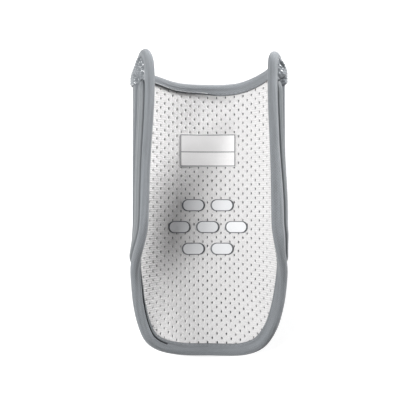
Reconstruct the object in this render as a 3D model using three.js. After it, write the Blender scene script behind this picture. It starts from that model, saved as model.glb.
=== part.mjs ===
// A baseball elbow guard, lying on its back with the opening up: a padded shell shaped as a trough, a mesh
// liner inside it, a folded tape round the whole edge, a padded rib and a textured panel on each wall, a name
// label and small grip pads on the liner.
// X runs across the guard, Y from the tongue to the two horns, Z up out of the opening. Lengths are millimetres.
import * as THREE from "three";

// Driving dimensions
const LENGTH = 241; // tongue tip to the taller horn
const WIDTH = 119; // across the outside of the walls at mid length
const HALF_GIRTH = 95; // over the inner face, from the middle of the floor to a wall's edge
const FLOOR_RADIUS = 73; // inner face of the floor, side to side
const FLOOR_SLOPE = THREE.MathUtils.degToRad(36); // the slope where the floor turns into a wall
const WALL_RADIUS = { left: 44, right: 57 }; // the left wall curls in more than the right one
const TONGUE_FLARE = 11.5; // how much further out each wall stands at the tongue
const TONGUE_LIFT = 7; // how far the tongue's tip curves up
const TOP_LIFT = 2; // how far the top edge curves up
const PAD_THICKNESS = 6.5; // padded shell
const PAD_EDGE = 2.8; // padded shell where the tape holds it
const SHOULDER = 2.2; // run over which the padding swells to its full thickness
const SEAT_DEPTH = 0.8; // how much of the shell's round back is flat
const LINER_THICKNESS = 1;
const TAPE_THICKNESS = 1;
const TAPE_LAP = { arm: 9, back: 5.8 }; // how far the folded tape covers each face
const VALLEY = 0.55; // between the tape and the padding beside it
const RIB_WIDTH = 7.95;
const RIB_HEIGHT = 3.2;
const PANEL_THICKNESS = 1.2;
const PANEL_LENGTH = 8; // corner panel, along its lower end
const PANEL_WIDTH = 34; // corner panel, across the wall
const LABEL = { width: 45.6, height: 26.4, along: 43.5, thickness: 0.6 };
const GRIP_PAD = { width: 19, height: 9.5, thickness: 0.6 };
const GRIP_PITCH = { across: 23.5, along: 17.5 };
const GRIP_ALONG = -18; // middle of the group of grip pads
const CLEARANCE = 0.45; // between pieces that touch
const PANEL_SEAT = 0.7; // between a corner panel and the shell under it

// Where the sizes above place things
const HALF_LENGTH = LENGTH / 2;
const PAD_FACE = LINER_THICKNESS + CLEARANCE; // height of the shell's inner face over the liner's inner face
const EDGE_FACE = PAD_FACE + PAD_EDGE; // the shell's outer face under the tape
const OUTER_FACE = PAD_FACE + PAD_THICKNESS; // the shell's outer face at full thickness
const TAPE_FOLD = (EDGE_FACE + 2 * CLEARANCE + 2 * TAPE_THICKNESS) / 2; // radius of the tape's folded edge
const CUT_EDGE = TAPE_FOLD; // from the outline to the cut edge of shell and liner
const RIB_START = TAPE_LAP.back + VALLEY;
const RIB_END = RIB_START + RIB_WIDTH;
const FLARE_RUN = { from: -0.1, to: -0.85 }; // shares of the half length
const TONGUE_RUN = { from: -0.46, to: -1 };
const TOP_RUN = { from: 0.5, to: 1 };
const RIB_RUN = { from: -0.4, to: 0.79 };
const RIB_ROUNDING = 0.07; // length of a rib's round end, as a share of the half length
const RIB_MARGIN = 0.03; // room past a rib's end, as a share of the half length
const PANEL_FACET = 6; // longest facet side round a corner panel
const LEAST_FACING = 0.75; // limits how far an offset is stretched where the edge turns
const NORMAL_BLUR = 26; // the stretch of edge over which an inward direction is averaged

// The guard's outline, laid flat, from the tongue's tip to the middle of the top edge. across is a share of the
// half girth and along a share of the half length. steps is how many pieces the stretch to the next row has.
const OUTLINE = [
  { along: -1.0, right: 0.0, leftAlong: -1.0, left: 0.0, steps: 4 },
  { along: -0.994, right: 0.3, leftAlong: -0.993, left: 0.23, steps: 4 },
  { along: -0.953, right: 0.45, leftAlong: -0.957, left: 0.425, steps: 4 },
  { along: -0.9, right: 0.53, leftAlong: -0.9, left: 0.54, steps: 2, corner: "toe" },
  { along: -0.8, right: 0.618, leftAlong: -0.8, left: 0.62, steps: 2 },
  { along: -0.665, right: 0.69, leftAlong: -0.665, left: 0.685, steps: 2 },
  { along: -0.505, right: 0.755, leftAlong: -0.505, left: 0.74, steps: 1 },
  { along: -0.4, right: 0.81, leftAlong: -0.4, left: 0.8, steps: 1 },
  { along: -0.31, right: 0.855, leftAlong: -0.31, left: 0.855, steps: 1 },
  { along: -0.2, right: 0.885, leftAlong: -0.2, left: 0.89, steps: 5 },
  { along: 0.23, right: 0.925, leftAlong: 0.23, left: 0.935, steps: 4 },
  { along: 0.63, right: 0.99, leftAlong: 0.65, left: 1.0, steps: 3 },
  { along: 0.86, right: 1.0, leftAlong: 0.885, left: 1.0, steps: 2 },
  { along: 0.935, right: 0.985, leftAlong: 0.95, left: 0.97, steps: 1 },
  { along: 0.974, right: 0.935, leftAlong: 0.99, left: 0.91, steps: 2, corner: "horn" },
  { along: 0.973, right: 0.87, leftAlong: 0.985, left: 0.85, steps: 1 },
  { along: 0.957, right: 0.79, leftAlong: 0.948, left: 0.78, steps: 2 },
  { along: 0.942, right: 0.665, leftAlong: 0.905, left: 0.68, steps: 2 },
  { along: 0.902, right: 0.55, leftAlong: 0.872, left: 0.55, steps: 2 },
  { along: 0.85, right: 0.41, leftAlong: 0.842, left: 0.41, steps: 1 },
  { along: 0.81, right: 0.25, leftAlong: 0.81, left: 0.25, steps: 2 },
  { along: 0.8, right: 0.0, leftAlong: 0.8, left: 0.0, steps: 2 },
];

// Shape of the inner face
const smooth = (share) => THREE.MathUtils.smoothstep(share, 0, 1);
const runShare = (along, run) => (along / HALF_LENGTH - run.from) / (run.to - run.from);

function wallReach(along) {
  return WIDTH / 2 - OUTER_FACE + TONGUE_FLARE * smooth(runShare(along, FLARE_RUN));
}

function floorHeight(along) {
  const tongue = Math.max(0, runShare(along, TONGUE_RUN));
  const top = Math.max(0, runShare(along, TOP_RUN));
  return OUTER_FACE - SEAT_DEPTH + TONGUE_LIFT * tongue ** 2 + TOP_LIFT * top ** 2;
}

// A section is an arc for the floor, one for the bend into the wall and one for the wall.
function innerFace(across, along) {
  const side = Math.sign(across);
  const wallRadius = across < 0 ? WALL_RADIUS.left : WALL_RADIUS.right;
  const floorReach = FLOOR_RADIUS * Math.sin(FLOOR_SLOPE);
  const bendRadius = (wallReach(along) - floorReach) / (1 - Math.sin(FLOOR_SLOPE));
  const floorEnd = FLOOR_RADIUS * FLOOR_SLOPE;
  const bendEnd = floorEnd + bendRadius * (Math.PI / 2 - FLOOR_SLOPE);
  const run = Math.abs(across);
  const slope = FLOOR_SLOPE + (Math.min(run, bendEnd) - floorEnd) / bendRadius;
  const lean = Math.max(0, run - bendEnd) / wallRadius;
  let x = FLOOR_RADIUS * Math.sin(run / FLOOR_RADIUS);
  let z = FLOOR_RADIUS * (1 - Math.cos(run / FLOOR_RADIUS));
  if (run > floorEnd) {
    x = floorReach + bendRadius * (Math.sin(slope) - Math.sin(FLOOR_SLOPE));
    z = FLOOR_RADIUS * (1 - Math.cos(FLOOR_SLOPE)) + bendRadius * (Math.cos(FLOOR_SLOPE) - Math.cos(slope));
    x -= wallRadius * (1 - Math.cos(lean));
    z += wallRadius * Math.sin(lean);
  }
  return new THREE.Vector3(side * x, along, z + floorHeight(along));
}

// The point at a height over the inner face, counted outwards, away from the arm.
function place(across, along, height) {
  const STEP = 0.05;
  const acrossStep = innerFace(across + STEP, along).sub(innerFace(across - STEP, along));
  const alongStep = innerFace(across, along + STEP).sub(innerFace(across, along - STEP));
  const inward = acrossStep.cross(alongStep).normalize();
  return innerFace(across, along).addScaledVector(inward, -height);
}

// The outline as points with an inward direction each, and the numbers of the points at its four corners.
function outlinePoints() {
  const right = OUTLINE.map((row) => ({ across: row.right, along: row.along, corner: row.corner }));
  const left = OUTLINE.slice(1, -1).reverse();
  const rows = [
    ...right,
    ...left.map((row) => ({ across: -row.left, along: row.leftAlong, corner: row.corner })),
  ];
  const steps = OUTLINE.slice(0, -1).map((row) => row.steps);
  const curve = new THREE.CatmullRomCurve3(
    rows.map((row) => new THREE.Vector3(row.across * HALF_GIRTH, row.along * HALF_LENGTH, 0)),
    true,
    "centripetal",
  );
  const points = [];
  const corners = [];
  [...steps, ...steps.toReversed()].forEach((count, row) => {
    if (rows[row].corner) corners.push(points.length);
    for (let step = 0; step < count; step++) {
      const point = curve.getPoint((row + step / count) / rows.length);
      points.push({ across: point.x, along: point.y });
    }
  });
  const total = points.length;
  const gap = (a, b) => Math.hypot(a.across - b.across, a.along - b.along);
  const normals = points.map((point, i) => {
    const before = points[(i + total - 1) % total];
    const after = points[(i + 1) % total];
    const run = gap(before, after);
    return { across: (before.along - after.along) / run, along: (after.across - before.across) / run, run };
  });
  points.forEach((point, i) => {
    let across = 0;
    let along = 0;
    for (const turn of [1, -1]) {
      let run = 0;
      for (let k = 0; k < total && run < NORMAL_BLUR; k++) {
        const here = (i + turn * k + total) % total;
        const weight = (1 - run / NORMAL_BLUR) * normals[here].run;
        across += weight * normals[here].across;
        along += weight * normals[here].along;
        run += gap(points[here], points[(here + turn + total) % total]);
      }
    }
    const size = Math.hypot(across, along);
    point.inAcross = across / size;
    point.inAlong = along / size;
    const facing = point.inAcross * normals[i].across + point.inAlong * normals[i].along;
    point.stretch = 1 / Math.max(facing, LEAST_FACING);
  });
  return { points, corners };
}

const { points: EDGE, corners: CORNERS } = outlinePoints();

// The flat place at a distance inwards from the outline's point i.
function inFromEdge(i, distance) {
  const point = EDGE[(i + EDGE.length) % EDGE.length];
  const run = distance * point.stretch;
  return { across: point.across + point.inAcross * run, along: point.along + point.inAlong * run };
}

// A ring of flat places round the guard, each at a distance inwards from the outline and a height over the face.
function ring(distance, height) {
  const at = (value, i) => (typeof value === "function" ? value(i) : value);
  return EDGE.map((point, i) => ({ ...inFromEdge(i, at(distance, i)), height: at(height, i) }));
}

// The flat places inside a ring, as rows from the tongue to the top edge: each is the ring's two sides and two
// ends drawn inwards by equal shares.
function grid(edgeRing) {
  const [toe, horn, otherHorn, otherToe] = CORNERS;
  const acrossSteps = otherHorn - horn;
  const alongSteps = horn - toe;
  const mix = (a, b, share) => ({
    across: THREE.MathUtils.lerp(a.across, b.across, share),
    along: THREE.MathUtils.lerp(a.along, b.along, share),
    height: THREE.MathUtils.lerp(a.height, b.height, share),
  });
  const bottom = (i) => edgeRing[(otherToe + i) % EDGE.length];
  const top = (i) => edgeRing[otherHorn - i];
  const rows = [];
  for (let j = 0; j <= alongSteps; j++) {
    const up = j / alongSteps;
    const row = [];
    for (let i = 0; i <= acrossSteps; i++) {
      const over = i / acrossSteps;
      const ends = mix(bottom(i), top(i), up);
      const sides = mix(edgeRing[otherToe - j], edgeRing[toe + j], over);
      const corners = mix(mix(bottom(0), top(0), up), mix(bottom(acrossSteps), top(acrossSteps), up), over);
      row.push({
        across: ends.across + sides.across - corners.across,
        along: ends.along + sides.along - corners.along,
        height: ends.height + sides.height - corners.height,
      });
    }
    rows.push(row);
  }
  return rows;
}

// A flat place's point in space. Nothing reaches lower than the surface that the guard rests on.
function toPoint({ across, along, height }) {
  const point = place(across, along, height);
  point.z = Math.max(point.z, 0);
  return point;
}

// A closed geometry from points and polygons, turned to face outwards
function solid(points, polygons) {
  const triangles = [];
  for (const polygon of polygons) {
    for (let i = 2; i < polygon.length; i++) triangles.push([polygon[0], polygon[i - 1], polygon[i]]);
  }
  const volume = triangles.reduce(
    (sum, [a, b, c]) => sum + points[a].dot(points[b].clone().cross(points[c])),
    0,
  );
  if (volume < 0) triangles.forEach((triangle) => triangle.reverse());
  const geometry = new THREE.BufferGeometry();
  geometry.setAttribute("position", new THREE.Float32BufferAttribute(points.flatMap((p) => p.toArray()), 3));
  geometry.setIndex(triangles.flat());
  geometry.computeVertexNormals();
  return geometry;
}

// Polygons between each ring of flat places and the next. A polygon is cut into triangles from its first point,
// which is chosen so that faces that lie against each other have the same facets.
function strips(rings, closed = false) {
  const count = rings[0].length;
  const polygons = [];
  for (let r = 0; r < (closed ? rings.length : rings.length - 1); r++) {
    const nextRing = (r + 1) % rings.length;
    const here = r * count;
    const next = nextRing * count;
    const outward = rings[r][0].along >= rings[nextRing][0].along;
    for (let i = 0; i < count; i++) {
      const after = (i + 1) % count;
      if (outward) polygons.push([here + i, next + i, next + after, here + after]);
      else polygons.push([next + i, next + after, here + after, here + i]);
    }
  }
  return polygons;
}

// A solid with rings round the guard, first outwards over the arm side, then inwards over the back. A grid inside
// the first and the last ring closes both faces.
function wrapped(rings) {
  const total = EDGE.length;
  const points = rings.flat().map(toPoint);
  const polygons = strips(rings);
  const [toe, horn, otherHorn, otherToe] = CORNERS;
  for (const [ringNumber, facing] of [[0, 1], [rings.length - 1, -1]]) {
    const rows = grid(rings[ringNumber]);
    const last = rows.length - 1;
    const width = rows[0].length - 1;
    const numbers = rows.map((row, j) =>
      row.map((flatPlace, i) => {
        const start = ringNumber * total;
        if (j === 0) return start + ((otherToe + i) % total);
        if (j === last) return start + otherHorn - i;
        if (i === 0) return start + otherToe - j;
        if (i === width) return start + toe + j;
        return points.push(toPoint(flatPlace)) - 1;
      }),
    );
    for (let j = 0; j < last; j++) {
      for (let i = 0; i < width; i++) {
        const [a, b, c, d] = [numbers[j][i], numbers[j][i + 1], numbers[j + 1][i + 1], numbers[j + 1][i]];
        polygons.push(facing > 0 ? [a, b, c, d] : [a, d, c, b]);
      }
    }
  }
  return solid(points, polygons);
}

// A thin solid over an outline of flat places, between two heights
function patch(outline, near, far, shares) {
  const middle = { across: 0, along: 0 };
  outline.forEach((flatPlace) => {
    middle.across += flatPlace.across / outline.length;
    middle.along += flatPlace.along / outline.length;
  });
  const ringAt = (share, height) =>
    outline.map((flatPlace) => ({
      across: THREE.MathUtils.lerp(middle.across, flatPlace.across, share),
      along: THREE.MathUtils.lerp(middle.along, flatPlace.along, share),
      height,
    }));
  const rings = [
    ...shares.map((share) => ringAt(share, near)),
    ...shares.toReversed().map((share) => ringAt(share, far)),
  ];
  const points = rings.flat().map(toPoint);
  const count = outline.length;
  const polygons = strips(rings);
  const nearMiddle = points.push(toPoint({ ...middle, height: near })) - 1;
  const farMiddle = points.push(toPoint({ ...middle, height: far })) - 1;
  const lastRing = (rings.length - 1) * count;
  for (let i = 0; i < count; i++) {
    const after = (i + 1) % count;
    polygons.push([nearMiddle, i, after]);
    polygons.push([farMiddle, lastRing + after, lastRing + i]);
  }
  return solid(points, polygons);
}

// A rectangle with round corners, as flat places
function roundedRectangle(across, along, width, height, radius, cornerSteps) {
  const outline = [];
  const CORNER_SIDES = [[1, -1], [1, 1], [-1, 1], [-1, -1]];
  CORNER_SIDES.forEach(([side, end], corner) => {
    for (let step = 0; step <= cornerSteps; step++) {
      const turn = ((corner - 1 + step / cornerSteps) * Math.PI) / 2;
      outline.push({
        across: across + side * (width / 2 - radius) + radius * Math.cos(turn),
        along: along + end * (height / 2 - radius) + radius * Math.sin(turn),
      });
    }
  });
  return outline;
}

// Padded shell
// How much of the rib stands beside edge point i, from 0 to 1
function ribShare(i) {
  const [toe, horn, otherHorn, otherToe] = CORNERS;
  const onWall = (i > toe && i < horn) || (i > otherHorn && i < otherToe);
  const along = inFromEdge(i, RIB_END).along / HALF_LENGTH;
  const fromEnd = Math.min(along - RIB_RUN.from, RIB_RUN.to - along);
  return onWall ? smooth((fromEnd + RIB_MARGIN + RIB_ROUNDING) / RIB_ROUNDING) : 0;
}

const swellStart = (i) => RIB_START + (RIB_WIDTH + CLEARANCE) * ribShare(i);

function paddedShell() {
  const CREST = { run: 0.35, rise: 0.72 }; // the shoulder's bend, as shares of its run and its rise
  const crestHeight = THREE.MathUtils.lerp(EDGE_FACE, OUTER_FACE, CREST.rise);
  return wrapped([
    ring((i) => swellStart(i) + SHOULDER, PAD_FACE),
    ring(TAPE_LAP.arm, PAD_FACE),
    ring(CUT_EDGE, PAD_FACE),
    ring(CUT_EDGE, EDGE_FACE),
    ring(TAPE_LAP.back, EDGE_FACE),
    ring(swellStart, EDGE_FACE),
    ring((i) => swellStart(i) + SHOULDER * CREST.run, crestHeight),
    ring((i) => swellStart(i) + SHOULDER, OUTER_FACE),
  ]);
}

function meshLiner() {
  const face = (height) => [
    ring((i) => swellStart(i) + SHOULDER, height),
    ring(TAPE_LAP.arm, height),
    ring(CUT_EDGE, height),
  ];
  return wrapped([...face(0), ...face(LINER_THICKNESS).reverse()]);
}

// The tape's section is two flaps joined by a half round fold.
function edgeTape() {
  const FOLD_STEPS = 4;
  const middle = EDGE_FACE / 2;
  const fold = (radius, steps) => {
    const rings = [ring(TAPE_LAP.arm, middle - radius)];
    for (let step = 0; step <= steps; step++) {
      const turn = (step / steps) * Math.PI;
      rings.push(ring(TAPE_FOLD - radius * Math.sin(turn), middle - radius * Math.cos(turn)));
    }
    rings.push(ring(TAPE_LAP.back, middle + radius));
    return rings;
  };
  const rings = [...fold(TAPE_FOLD, FOLD_STEPS), ...fold(TAPE_FOLD - TAPE_THICKNESS, FOLD_STEPS).reverse()];
  return solid(rings.flat().map(toPoint), strips(rings, true));
}

// The flat place beside a wall's edge at a length along the guard and a distance inwards from the outline
function besideWall(side, along, distance) {
  const [toe, horn, otherHorn, otherToe] = CORNERS;
  const numbers = side > 0 ? [toe, horn] : [otherHorn, otherToe];
  for (let i = numbers[0]; i < numbers[1]; i++) {
    const from = inFromEdge(i, distance);
    const to = inFromEdge(i + 1, distance);
    const share = (along - from.along) / (to.along - from.along);
    if (share >= 0 && share <= 1) {
      return { across: THREE.MathUtils.lerp(from.across, to.across, share), along };
    }
  }
  throw new Error("No wall at this length");
}

function sideRib(side) {
  const PROFILE = [
    { over: 0, rise: 0 },
    { over: 0, rise: 0.6 },
    { over: 0.12, rise: 0.92 },
    { over: 0.35, rise: 1 },
    { over: 0.65, rise: 1 },
    { over: 0.88, rise: 0.92 },
    { over: 1, rise: 0.6 },
    { over: 1, rise: 0 },
    { over: 0.65, rise: 0 },
    { over: 0.35, rise: 0 },
  ];
  const END_SHARES = [0.02, 0.15, 0.45, 1];
  const LENGTH_STEPS = 16;
  const alongs = [];
  END_SHARES.forEach((share) => alongs.push({ along: RIB_RUN.from + RIB_ROUNDING * share, round: share }));
  for (let step = 1; step < LENGTH_STEPS; step++) {
    const from = RIB_RUN.from + RIB_ROUNDING;
    const to = RIB_RUN.to - RIB_ROUNDING;
    alongs.push({ along: THREE.MathUtils.lerp(from, to, step / LENGTH_STEPS), round: 1 });
  }
  END_SHARES.toReversed().forEach((share) => {
    alongs.push({ along: RIB_RUN.to - RIB_ROUNDING * share, round: share });
  });
  const rings = alongs.map(({ along, round }) => {
    const size = Math.sqrt(1 - (1 - round) ** 2);
    return PROFILE.map(({ over, rise }) => {
      const distance = RIB_START + RIB_WIDTH * (0.5 + (over - 0.5) * size);
      const height = EDGE_FACE + CLEARANCE + RIB_HEIGHT * rise * size;
      return { ...besideWall(side, along * HALF_LENGTH, distance), height };
    });
  });
  const count = PROFILE.length;
  const polygons = strips(rings);
  const numbers = PROFILE.map((row, i) => i);
  polygons.push(numbers);
  polygons.push(numbers.map((number) => number + (rings.length - 1) * count).reverse());
  return solid(rings.flat().map(toPoint), polygons);
}

// The corner panel fills the horn. It is four-sided, between the tape and the rib's end.
function cornerPanel(side) {
  const [, horn, otherHorn] = CORNERS;
  const start = RIB_START + SHOULDER;
  const inside = HALF_GIRTH - start - PANEL_WIDTH;
  const hornPoint = side > 0 ? horn : otherHorn;
  let below = hornPoint;
  while (side * inFromEdge(below + side, start).across > inside) below += side;
  const hornEnd = inFromEdge(hornPoint, start);
  const [from, to] = [inFromEdge(below, start), inFromEdge(below + side, start)];
  const share = (side * from.across - inside) / (side * (from.across - to.across));
  const lowerEnd = {
    across: THREE.MathUtils.lerp(from.across, to.across, share),
    along: THREE.MathUtils.lerp(from.along, to.along, share),
  };
  const outline = [
    hornEnd,
    lowerEnd,
    { across: lowerEnd.across, along: lowerEnd.along - PANEL_LENGTH },
    besideWall(side, RIB_RUN.to * HALF_LENGTH + CLEARANCE, start),
  ];
  const near = OUTER_FACE + PANEL_SEAT;
  return patch(subdivided(outline, PANEL_FACET), near, near + PANEL_THICKNESS, [0.4, 0.75, 1]);
}

// An outline with no side longer than the given length
function subdivided(outline, longest) {
  return outline.flatMap((from, i) => {
    const to = outline[(i + 1) % outline.length];
    const pieces = Math.ceil(Math.hypot(to.across - from.across, to.along - from.along) / longest);
    return Array.from({ length: pieces }, (nothing, k) => ({
      across: THREE.MathUtils.lerp(from.across, to.across, k / pieces),
      along: THREE.MathUtils.lerp(from.along, to.along, k / pieces),
    }));
  });
}

function nameLabel() {
  const outline = roundedRectangle(0, LABEL.along, LABEL.width, LABEL.height, 1.2, 2);
  return patch(outline, -CLEARANCE - LABEL.thickness, -CLEARANCE, [0.35, 0.7, 1]);
}

function gripPad(across, along) {
  const { width, height, thickness } = GRIP_PAD;
  const outline = roundedRectangle(across, along, width, height, height / 2, 3);
  return patch(outline, -CLEARANCE - thickness, -CLEARANCE, [0.55, 1]);
}

// Assembly
const guard = new THREE.Group();

function add(name, geometry, material) {
  const mesh = new THREE.Mesh(geometry, new THREE.MeshStandardMaterial(material));
  mesh.name = name;
  guard.add(mesh);
}

add("padded_shell", paddedShell(), { color: 0x8e9296, roughness: 0.8, metalness: 0 });
add("mesh_liner", meshLiner(), { color: 0xe4e5e6, roughness: 0.9, metalness: 0 });
add("edge_tape", edgeTape(), { color: 0x94989c, roughness: 0.75, metalness: 0 });
for (const [name, side] of [["left", -1], ["right", 1]]) {
  add(`rib_${name}`, sideRib(side), { color: 0x9a9ea2, roughness: 0.6, metalness: 0 });
  add(`corner_panel_${name}`, cornerPanel(side), { color: 0x8a8e92, roughness: 0.55, metalness: 0 });
}
add("name_label", nameLabel(), { color: 0xe0e0e0, roughness: 0.6, metalness: 0 });
let padNumber = 0;
for (const { count, row } of [{ count: 2, row: 1 }, { count: 3, row: 0 }, { count: 2, row: -1 }]) {
  for (let i = 0; i < count; i++) {
    padNumber += 1;
    const across = (i - (count - 1) / 2) * GRIP_PITCH.across;
    const along = GRIP_ALONG + row * GRIP_PITCH.along;
    add(`grip_pad_${padNumber}`, gripPad(across, along), { color: 0xdadbdc, roughness: 0.5, metalness: 0 });
  }
}

// The origin is on the ground under the middle of the guard.
const middle = new THREE.Box3().setFromObject(guard).getCenter(new THREE.Vector3());
guard.position.set(-middle.x, -middle.y, 0);

export default guard;
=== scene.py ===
import math

import bpy
import numpy as np
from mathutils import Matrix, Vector


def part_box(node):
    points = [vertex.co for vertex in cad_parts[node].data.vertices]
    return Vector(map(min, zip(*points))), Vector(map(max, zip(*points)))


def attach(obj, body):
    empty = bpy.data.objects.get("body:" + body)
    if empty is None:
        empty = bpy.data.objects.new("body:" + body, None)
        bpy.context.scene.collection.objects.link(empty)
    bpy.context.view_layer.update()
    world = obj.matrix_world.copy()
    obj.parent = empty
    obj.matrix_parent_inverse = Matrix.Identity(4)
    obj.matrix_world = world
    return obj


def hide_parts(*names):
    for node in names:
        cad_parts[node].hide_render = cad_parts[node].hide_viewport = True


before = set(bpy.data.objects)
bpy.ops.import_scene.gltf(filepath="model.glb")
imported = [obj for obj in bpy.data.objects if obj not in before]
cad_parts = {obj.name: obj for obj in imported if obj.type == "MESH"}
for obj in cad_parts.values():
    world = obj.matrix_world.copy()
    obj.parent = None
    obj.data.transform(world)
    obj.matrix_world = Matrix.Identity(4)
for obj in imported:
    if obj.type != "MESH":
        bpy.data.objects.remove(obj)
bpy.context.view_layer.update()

# Sizes of the construction
LENGTH = 0.241
WIDTH = 0.119
HALF_GIRTH = 0.095
FLOOR_RADIUS = 0.073
FLOOR_SLOPE = math.radians(36)
WALL_RADIUS = {"left": 0.044, "right": 0.057}
TONGUE_FLARE = 0.0115
TONGUE_LIFT = 0.007
TOP_LIFT = 0.002
PAD_THICKNESS = 0.0065
PAD_EDGE = 0.0028
SHOULDER = 0.0022
SEAT_DEPTH = 0.0008
LINER_THICKNESS = 0.001
TAPE_THICKNESS = 0.001
TAPE_LAP = {"arm": 0.009, "back": 0.0058}
VALLEY = 0.00055
RIB_WIDTH = 0.00795
RIB_HEIGHT = 0.0032
PANEL_LENGTH = 0.008
PANEL_WIDTH = 0.034
LABEL = {"width": 0.0456, "height": 0.0264, "along": 0.0435}
GRIP_PAD = {"width": 0.019, "height": 0.0095, "thickness": 0.0006}
GRIP_PITCH = {"across": 0.0235, "along": 0.0175}
GRIP_ALONG = -0.018
CLEARANCE = 0.00045
PANEL_SEAT = 0.0007

HALF_LENGTH = LENGTH / 2
PAD_FACE = LINER_THICKNESS + CLEARANCE
EDGE_FACE = PAD_FACE + PAD_EDGE
OUTER_FACE = PAD_FACE + PAD_THICKNESS
TAPE_FOLD = (EDGE_FACE + 2 * CLEARANCE + 2 * TAPE_THICKNESS) / 2
CUT = TAPE_FOLD
RIB_START = TAPE_LAP["back"] + VALLEY
RIB_END = RIB_START + RIB_WIDTH
FLARE_RUN = (-0.1, -0.85)
TONGUE_RUN = (-0.46, -1.0)
TOP_RUN = (0.5, 1.0)
RIB_RUN = (-0.4, 0.79)
RIB_TOP = RIB_RUN[1] * HALF_LENGTH
RIB_ROUNDING = 0.07
RIB_MARGIN = 0.03
LEAST_FACING = 0.75
NORMAL_BLUR = 0.026
TANGENT_STEP = 0.00005
MILLIMETRES = 1000
WALL_SWELL = {
    "most": 0.0024, "upper": 0.42, "upper_fade": 0.48, "lower": -0.35, "lower_fade": 0.17,
    "across": 0.045, "across_fade": 0.025,
}

# The outline laid flat: places as shares of half the length and half the girth, and steps to the next row
RIGHT_ALONG, RIGHT, LEFT_ALONG, LEFT, STEPS = range(5)
OUTLINE = [
    (-1.0, 0.0, -1.0, 0.0, 4),
    (-0.994, 0.3, -0.993, 0.23, 4),
    (-0.953, 0.45, -0.957, 0.425, 4),
    (-0.9, 0.53, -0.9, 0.54, 2),
    (-0.8, 0.618, -0.8, 0.62, 2),
    (-0.665, 0.69, -0.665, 0.685, 2),
    (-0.505, 0.755, -0.505, 0.74, 1),
    (-0.4, 0.81, -0.4, 0.8, 1),
    (-0.31, 0.855, -0.31, 0.855, 1),
    (-0.2, 0.885, -0.2, 0.89, 5),
    (0.23, 0.925, 0.23, 0.935, 4),
    (0.63, 0.99, 0.65, 1.0, 3),
    (0.86, 1.0, 0.885, 1.0, 2),
    (0.935, 0.985, 0.95, 0.97, 1),
    (0.974, 0.935, 0.99, 0.91, 2),
    (0.973, 0.87, 0.985, 0.85, 1),
    (0.957, 0.79, 0.948, 0.78, 2),
    (0.942, 0.665, 0.905, 0.68, 2),
    (0.902, 0.55, 0.872, 0.55, 2),
    (0.85, 0.41, 0.842, 0.41, 1),
    (0.81, 0.25, 0.81, 0.25, 2),
    (0.8, 0.0, 0.8, 0.0, 2),
]
TOE_ROW = 3
HORN_ROW = 14
FINE = 4  # scene points for each step of the construction


# Shape of the inner face
def smooth(share):
    share = np.clip(share, 0.0, 1.0)
    return share * share * (3 - 2 * share)


def run_share(along, run):
    return (along / HALF_LENGTH - run[0]) / (run[1] - run[0])


def inner_face(across, along):
    """Points on the inner face: an arc each for the floor, the bend into the wall and the wall"""
    reach = WIDTH / 2 - OUTER_FACE + TONGUE_FLARE * smooth(run_share(along, FLARE_RUN))
    tongue = np.maximum(0, run_share(along, TONGUE_RUN))
    top = np.maximum(0, run_share(along, TOP_RUN))
    floor = OUTER_FACE - SEAT_DEPTH + TONGUE_LIFT * tongue**2 + TOP_LIFT * top**2
    wall_radius = np.where(across < 0, WALL_RADIUS["left"], WALL_RADIUS["right"])
    sine = math.sin(FLOOR_SLOPE)
    cosine = math.cos(FLOOR_SLOPE)
    floor_reach = FLOOR_RADIUS * sine
    bend_radius = (reach - floor_reach) / (1 - sine)
    floor_end = FLOOR_RADIUS * FLOOR_SLOPE
    bend_end = floor_end + bend_radius * (math.pi / 2 - FLOOR_SLOPE)
    run = np.abs(across)
    slope = FLOOR_SLOPE + (np.minimum(run, bend_end) - floor_end) / bend_radius
    lean = np.maximum(0, run - bend_end) / wall_radius
    turn = np.minimum(run, floor_end) / FLOOR_RADIUS
    on_floor = run <= floor_end
    bend_x = floor_reach + bend_radius * (np.sin(slope) - sine) - wall_radius * (1 - np.cos(lean))
    bend_z = FLOOR_RADIUS * (1 - cosine) + bend_radius * (cosine - np.cos(slope))
    bend_z += wall_radius * np.sin(lean)
    x = np.where(on_floor, FLOOR_RADIUS * np.sin(turn), bend_x)
    z = np.where(on_floor, FLOOR_RADIUS * (1 - np.cos(turn)), bend_z)
    return np.stack([np.sign(across) * x, along, z + floor], axis=-1)


def as_arrays(*values):
    """The values as float arrays of one shape"""
    return np.broadcast_arrays(*(np.asarray(value, float) for value in values))


def mapped(across, along, height):
    """Points at a height over the inner face, none of them under the floor that the guard rests on"""
    across, along, height = as_arrays(across, along, height)
    over = inner_face(across + TANGENT_STEP, along) - inner_face(across - TANGENT_STEP, along)
    up = inner_face(across, along + TANGENT_STEP) - inner_face(across, along - TANGENT_STEP)
    inward = np.cross(over, up)
    inward /= np.linalg.norm(inward, axis=-1, keepdims=True)
    points = inner_face(across, along) - inward * height[..., None]
    points[..., 2] = np.maximum(points[..., 2], 0)
    return points


def wall_swell(across, along):
    """How much thicker the right wall is near its middle than the construction has it"""
    share = along / HALF_LENGTH
    run = smooth((WALL_SWELL["upper"] - share) / WALL_SWELL["upper_fade"])
    run *= smooth((share - WALL_SWELL["lower"]) / WALL_SWELL["lower_fade"])
    return WALL_SWELL["most"] * run * smooth((across - WALL_SWELL["across"]) / WALL_SWELL["across_fade"])


def place(across, along, height):
    """Points at a height over the inner face of the guard as it looks, with the swollen wall"""
    across, along, height = as_arrays(across, along, height)
    return mapped(across, along, height + wall_swell(across, along) * np.clip(height / EDGE_FACE, 0, 1))


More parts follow.
